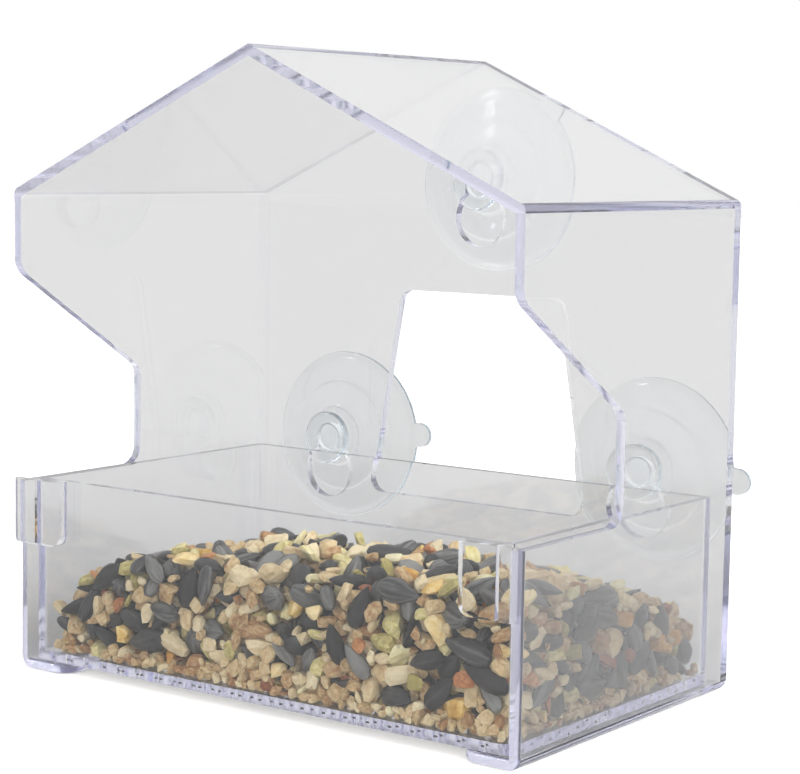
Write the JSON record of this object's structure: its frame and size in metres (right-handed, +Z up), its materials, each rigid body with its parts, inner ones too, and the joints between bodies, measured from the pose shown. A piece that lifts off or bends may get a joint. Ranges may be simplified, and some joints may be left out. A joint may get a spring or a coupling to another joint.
{
  "type": "window bird feeder",
  "caption": "Clear house-shaped window bird feeder with an open front, a cut-out back wall, a slide-out seed tray and suction cups for a window pane.",
  "frame": {"origin": "on the standing plane, at the middle of the back wall's bottom edge, halfway through the wall", "axes": "+X to the feeder's right seen from the front, +Y towards the window glass, +Z up"},
  "size_m": [0.1593, 0.1084, 0.1626],
  "materials": {
    "clear_shell": "moulded clear, polished",
    "clear_tray": "moulded clear, polished",
    "clear_cup": "soft clear vinyl, glossy",
    "seed_mix": "loose dry seed and nut pieces"
  },
  "bodies": {
    "shell": {"shell": "clear_shell"},
    "tray": {"tray": "clear_tray", "seed_fill": "seed_mix"},
    "suction_cup_left": {"suction_cup_left": "clear_cup"},
    "suction_cup_right": {"suction_cup_right": "clear_cup"},
    "suction_cup_top": {"suction_cup_top": "clear_cup"}
  },
  "joints": [
    {"name": "tray_slide", "type": "slide", "parent": "shell", "child": "tray", "axis": [0, -1, 0], "range_m": [0, 0.09]},
    {"name": "cup_left_slide", "type": "slide", "parent": "shell", "child": "suction_cup_left", "axis": [0, 0, -1], "range_m": [0, 0.0097]},
    {"name": "cup_right_slide", "type": "slide", "parent": "shell", "child": "suction_cup_right", "axis": [0, 0, -1], "range_m": [0, 0.0097]},
    {"name": "cup_top_slide", "type": "slide", "parent": "shell", "child": "suction_cup_top", "axis": [0, 0, -1], "range_m": [0, 0.0097]}
  ]
}
